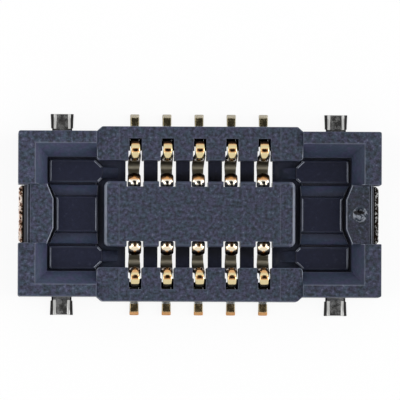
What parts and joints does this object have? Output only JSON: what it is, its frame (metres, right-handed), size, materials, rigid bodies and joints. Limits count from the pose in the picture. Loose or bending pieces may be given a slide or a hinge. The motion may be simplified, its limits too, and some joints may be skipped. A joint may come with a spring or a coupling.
{
  "type": "board to board connector",
  "caption": "Low receptacle of a fine-pitch board to board connector with two rows of gold-plated spring contacts.",
  "frame": {"origin": "middle of the connector's outline at the board's surface", "axes": "+X along the contact rows, +Y across them to row a, +Z away from the board to the mating side"},
  "size_m": [0.0044, 0.0024, 0.0007],
  "materials": {
    "housing": "matte moulded",
    "contact": "gold plated",
    "hold_down": "tin plated"
  },
  "bodies": {
    "root": {"housing": "housing", "contact_a1": "contact", "contact_a2": "contact", "contact_a3": "contact", "contact_a4": "contact", "contact_a5": "contact", "contact_b1": "contact", "contact_b2": "contact", "contact_b3": "contact", "contact_b4": "contact", "contact_b5": "contact", "hold_down_left": "hold_down", "hold_down_right": "hold_down"}
  },
  "joints": []
}
